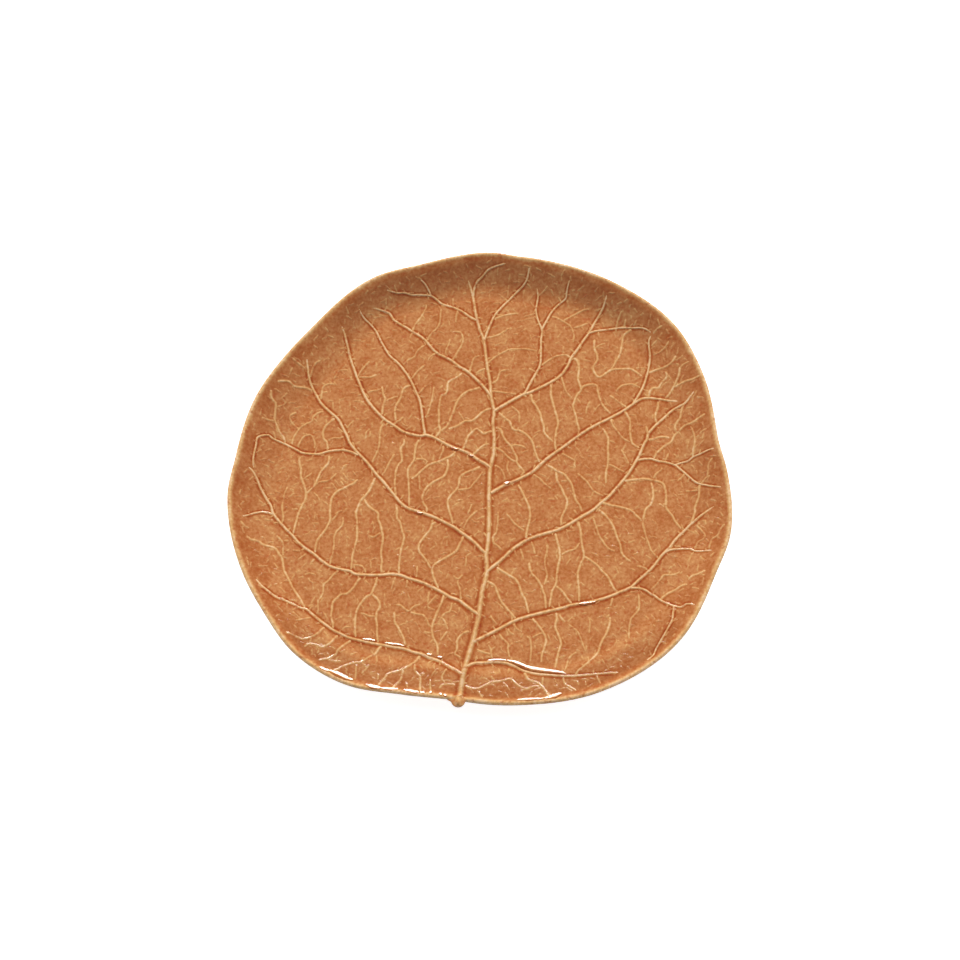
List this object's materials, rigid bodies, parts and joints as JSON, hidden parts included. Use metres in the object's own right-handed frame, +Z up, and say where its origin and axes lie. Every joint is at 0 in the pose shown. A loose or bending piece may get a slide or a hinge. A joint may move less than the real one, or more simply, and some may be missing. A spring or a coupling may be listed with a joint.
{
  "type": "salad plate",
  "caption": "Shallow leaf-shaped salad plate in glossy orange-brown glazed stoneware, with a soft rim, raised branching veins, a stem stub on the edge and a round bare foot ring.",
  "frame": {"origin": "on the table, under the middle of the plate's box", "axes": "+Z up out of the plate's face, +X across the leaf to the right, +Y from the stem to the leaf's tip"},
  "size_m": [0.22, 0.218, 0.0168],
  "materials": {
    "glaze": "glossy translucent orange-brown glaze",
    "thin_glaze": "the same glaze, run thin and pale over raised edges",
    "bare_clay": "wiped, unglazed buff stoneware"
  },
  "bodies": {
    "root": {"leaf_body": "glaze", "foot_ring": "bare_clay", "stem_stub": "thin_glaze", "midrib": "thin_glaze", "vein_left_1": "thin_glaze", "vein_left_2": "thin_glaze", "vein_left_3": "thin_glaze", "vein_left_4": "thin_glaze", "vein_left_5": "thin_glaze", "vein_left_6": "thin_glaze", "vein_right_1": "thin_glaze", "vein_right_2": "thin_glaze", "vein_right_3": "thin_glaze", "vein_right_4": "thin_glaze", "vein_right_5": "thin_glaze", "vein_right_6": "thin_glaze"}
  },
  "joints": []
}
